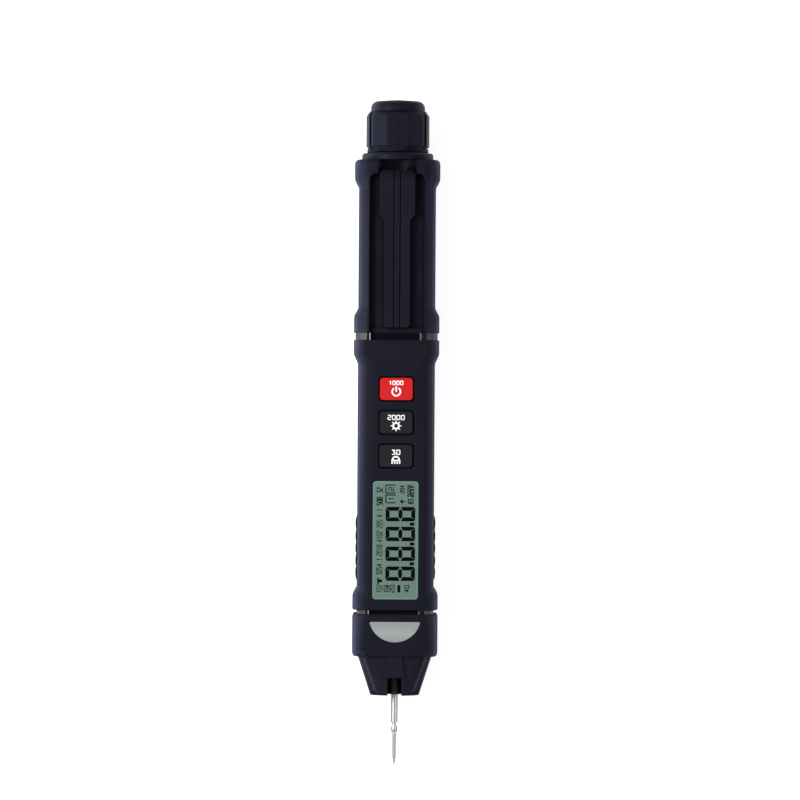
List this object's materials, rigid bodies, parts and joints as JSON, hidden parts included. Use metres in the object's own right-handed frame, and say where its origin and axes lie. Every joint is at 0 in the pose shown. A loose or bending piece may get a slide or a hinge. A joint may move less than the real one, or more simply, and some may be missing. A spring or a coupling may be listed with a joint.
{
  "type": "pen multimeter",
  "caption": "Pen-shaped digital multimeter with a probe tip, half-moon indicator, display window, keys, pocket clip and a screw cap over its lead socket.",
  "frame": {"origin": "middle of the footprint, on the surface that the pen lies on with its flat back down", "axes": "+Y along the pen towards the tail cap, +Z out of the display face, +X across it"},
  "size_m": [0.0272, 0.2126, 0.0235],
  "materials": {
    "navy_plastic": "fine satin moulding",
    "tail_plastic": "satin moulding",
    "neck_black": "glossy",
    "ring_grey": "satin",
    "grip_rubber": "soft moulded",
    "key_red": "silicone",
    "key_grey": "silicone",
    "window_green": "clear over a grey-green display",
    "lcd_green": "liquid crystal glass",
    "lens_grey": "translucent",
    "white_plastic": "moulded",
    "led_clear": "clear epoxy",
    "board_green": "solder mask",
    "part_black": "epoxy",
    "part_tan": "ceramic and film",
    "black_plastic": "moulded",
    "steel": "plated",
    "probe_steel": "nickel plated",
    "brass": "turned",
    "cell_skin": "printed sleeve",
    "liner_foam": "foam washer"
  },
  "bodies": {
    "case": {"front_shell": "navy_plastic", "rear_shell": "navy_plastic", "display_window": "window_green", "lcd_glass": "lcd_green", "lcd_holder": "white_plastic", "backlight_plate": "white_plastic", "zebra_strip": "part_black", "main_board": "board_green", "key_switches": "part_black", "measuring_chip": "part_black", "board_parts": "part_tan", "buzzer": "part_black", "case_screws": "steel", "battery_housing": "navy_plastic", "battery_left": "cell_skin", "battery_right": "cell_skin", "battery_springs": "steel", "contact_plates": "steel", "tail_collar": "tail_plastic", "socket_insulator": "black_plastic", "com_contact": "brass", "nose_collar": "navy_plastic", "nose_cone": "navy_plastic", "indicator_lens": "lens_grey", "indicator_leds": "led_clear", "torch_led": "led_clear", "probe_tip": "probe_steel", "probe_sleeve": "black_plastic", "probe_socket": "brass", "upper_trim_ring": "ring_grey", "lower_trim_ring": "ring_grey", "side_grips": "grip_rubber"},
    "power_key": {"power_button": "key_red"},
    "hold_key": {"hold_button": "key_grey"},
    "lamp_key": {"lamp_button": "key_grey"},
    "clip": {"pocket_clip": "navy_plastic"},
    "cover": {"battery_cover": "navy_plastic", "cover_screw": "steel"},
    "liner": {"cap_liner": "liner_foam"},
    "cap": {"tail_cap": "tail_plastic", "cap_grip": "tail_plastic"}
  },
  "joints": [
    {"name": "power_press", "type": "slide", "parent": "case", "child": "power_key", "axis": [0, 0, -1], "range_m": [0, 0.0005], "stiffness_N_per_m": 600},
    {"name": "hold_press", "type": "slide", "parent": "case", "child": "hold_key", "axis": [0, 0, -1], "range_m": [0, 0.0005], "stiffness_N_per_m": 600},
    {"name": "lamp_press", "type": "slide", "parent": "case", "child": "lamp_key", "axis": [0, 0, -1], "range_m": [0, 0.0005], "stiffness_N_per_m": 600},
    {"name": "clip_flex", "type": "hinge", "parent": "case", "child": "clip", "pos_m": [0, 0.081, 0.018], "axis": [-1, 0, 0], "range_deg": [0, 6], "stiffness_Nm_per_rad": 1},
    {"name": "battery_cover_lift", "type": "slide", "parent": "case", "child": "cover", "axis": [0, 0, -1], "range_m": [0, 0.025]},
    {"name": "tail_cap_rise", "type": "slide", "parent": "case", "child": "liner", "axis": [0, 1, 0], "range_m": [0, 0.0076]},
    {"name": "tail_cap_unscrew", "type": "hinge", "parent": "liner", "child": "cap", "pos_m": [0, 0.0958, 0.0115], "axis": [0, 1, 0], "range_deg": [0, 1800]}
  ],
  "couplings": [
    {"joint": "tail_cap_rise", "follows": "tail_cap_unscrew", "m_per_rad": 0.00023873}
  ]
}
